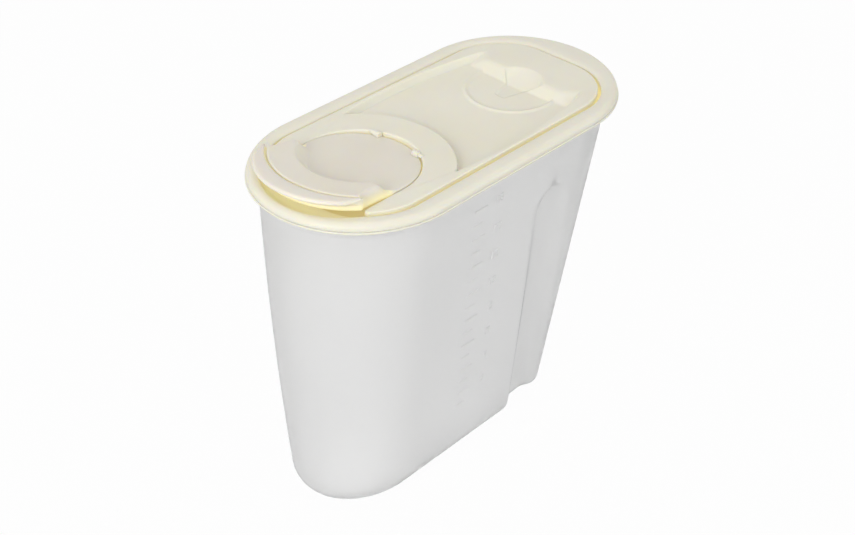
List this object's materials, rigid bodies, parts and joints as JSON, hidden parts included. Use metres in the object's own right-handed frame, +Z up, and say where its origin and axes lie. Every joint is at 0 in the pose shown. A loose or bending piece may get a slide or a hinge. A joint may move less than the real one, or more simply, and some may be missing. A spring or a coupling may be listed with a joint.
{
  "type": "cereal container with flip spout",
  "caption": "Tapered dry food container with a press-on lid and a hinged pour spout flap that folds back into a recess.",
  "frame": {"origin": "on the floor, below the middle of the lid", "axes": "+X along the lid from the spout to the rear block, -Y to the side with the level scale, +Z up"},
  "size_m": [0.22, 0.11, 0.2029],
  "materials": {
    "container_body": "milky translucent, satin",
    "container_rim": "milky translucent, satin",
    "level_scale": "milky translucent, satin",
    "lid_rim": "cream, fine satin",
    "seal_channel": "cream, fine satin",
    "lid_panel": "cream, fine satin",
    "finger_scoop": "cream, fine satin",
    "spout_pan": "cream, fine satin",
    "flap_plate": "cream, fine satin",
    "flap_lip": "cream, fine satin",
    "flap_plug": "cream, fine satin",
    "hinge_pins": "cream, fine satin"
  },
  "bodies": {
    "container": {"container_body": "container_body", "container_rim": "container_rim", "level_scale": "level_scale"},
    "lid": {"lid_rim": "lid_rim", "seal_channel": "seal_channel", "lid_panel": "lid_panel", "finger_scoop": "finger_scoop", "spout_pan": "spout_pan"},
    "flap": {"flap_plate": "flap_plate", "flap_lip": "flap_lip", "flap_plug": "flap_plug", "hinge_pins": "hinge_pins"}
  },
  "joints": [
    {"name": "lid_lift", "type": "slide", "parent": "container", "child": "lid", "axis": [0, 0, 1], "range_m": [0, 0.03]},
    {"name": "flap_hinge", "type": "hinge", "parent": "lid", "child": "flap", "pos_m": [-0.0305, 0, 0.1916], "axis": [0, 1, 0], "range_deg": [-4.3, 168]}
  ]
}
